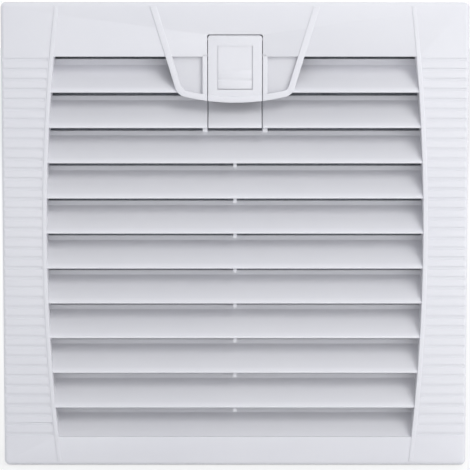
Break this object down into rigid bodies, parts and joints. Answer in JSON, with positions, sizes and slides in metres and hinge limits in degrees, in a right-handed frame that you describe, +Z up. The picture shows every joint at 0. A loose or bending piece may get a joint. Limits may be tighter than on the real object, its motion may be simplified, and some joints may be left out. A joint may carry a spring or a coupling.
{
  "type": "cabinet filter fan",
  "caption": "Louvred cabinet filter fan: square grille cover hinged at its foot with a finger latch, filter mat, and an axial fan with a wire guard behind the panel.",
  "frame": {"origin": "centre of the square cut-out in the cabinet panel, on the panel's outer face", "axes": "+Z up, +Y into the cabinet, the louvred cover faces -Y"},
  "size_m": [0.255, 0.1156, 0.255],
  "materials": {
    "cover_plastic": "satin",
    "housing_plastic": "satin",
    "dark_plastic": "matte",
    "foam_seal": "matte foam",
    "filter_fleece": "fibrous",
    "cast_aluminium": "die-cast",
    "painted_steel": "satin black",
    "copper_winding": "enamelled wire",
    "bright_steel": "zinc plated"
  },
  "bodies": {
    "housing": {"housing_frame": "housing_plastic", "latch_catch": "housing_plastic", "panel_seal": "foam_seal", "filter_mat": "filter_fleece", "support_grid": "housing_plastic", "spring_clip_1": "bright_steel", "spring_clip_2": "bright_steel", "spring_clip_3": "bright_steel", "spring_clip_4": "bright_steel", "spring_clip_5": "bright_steel", "spring_clip_6": "bright_steel", "spring_clip_7": "bright_steel", "spring_clip_8": "bright_steel", "hinge_pin_left": "bright_steel", "hinge_pin_right": "bright_steel", "fan_frame": "cast_aluminium", "fan_spider": "cast_aluminium", "motor_stator": "bright_steel", "winding_front": "copper_winding", "winding_rear": "copper_winding", "bearing_front": "bright_steel", "bearing_rear": "bright_steel", "fan_screw_1": "bright_steel", "fan_screw_2": "bright_steel", "fan_screw_3": "bright_steel", "fan_screw_4": "bright_steel", "finger_guard": "bright_steel", "terminal_box": "housing_plastic", "terminal_lid": "housing_plastic", "lid_screw_1": "bright_steel", "lid_screw_2": "bright_steel", "terminal_block": "dark_plastic", "gland_body": "dark_plastic", "gland_nut": "dark_plastic"},
    "cover": {"louvre_cover": "cover_plastic", "latch_pin": "bright_steel", "latch_spring": "bright_steel"},
    "latch": {"latch_flap": "cover_plastic"},
    "rotor": {"impeller": "dark_plastic", "rotor_cup": "painted_steel", "motor_shaft": "bright_steel", "retaining_ring": "bright_steel"}
  },
  "joints": [
    {"name": "cover_hinge", "type": "hinge", "parent": "housing", "child": "cover", "pos_m": [0, -0.008, -0.122], "axis": [1, 0, 0], "range_deg": [0, 75]},
    {"name": "latch_pivot", "type": "hinge", "parent": "cover", "child": "latch", "pos_m": [0, -0.0231, 0.1073], "axis": [-1, 0, 0], "range_deg": [0, 25], "stiffness_Nm_per_rad": 0.05, "springref_deg": -20.05, "deforming": ["latch_spring"]},
    {"name": "impeller_spin", "type": "hinge", "parent": "housing", "child": "rotor", "pos_m": [0, 0, 0], "axis": [0, 1, 0], "continuous": true}
  ]
}
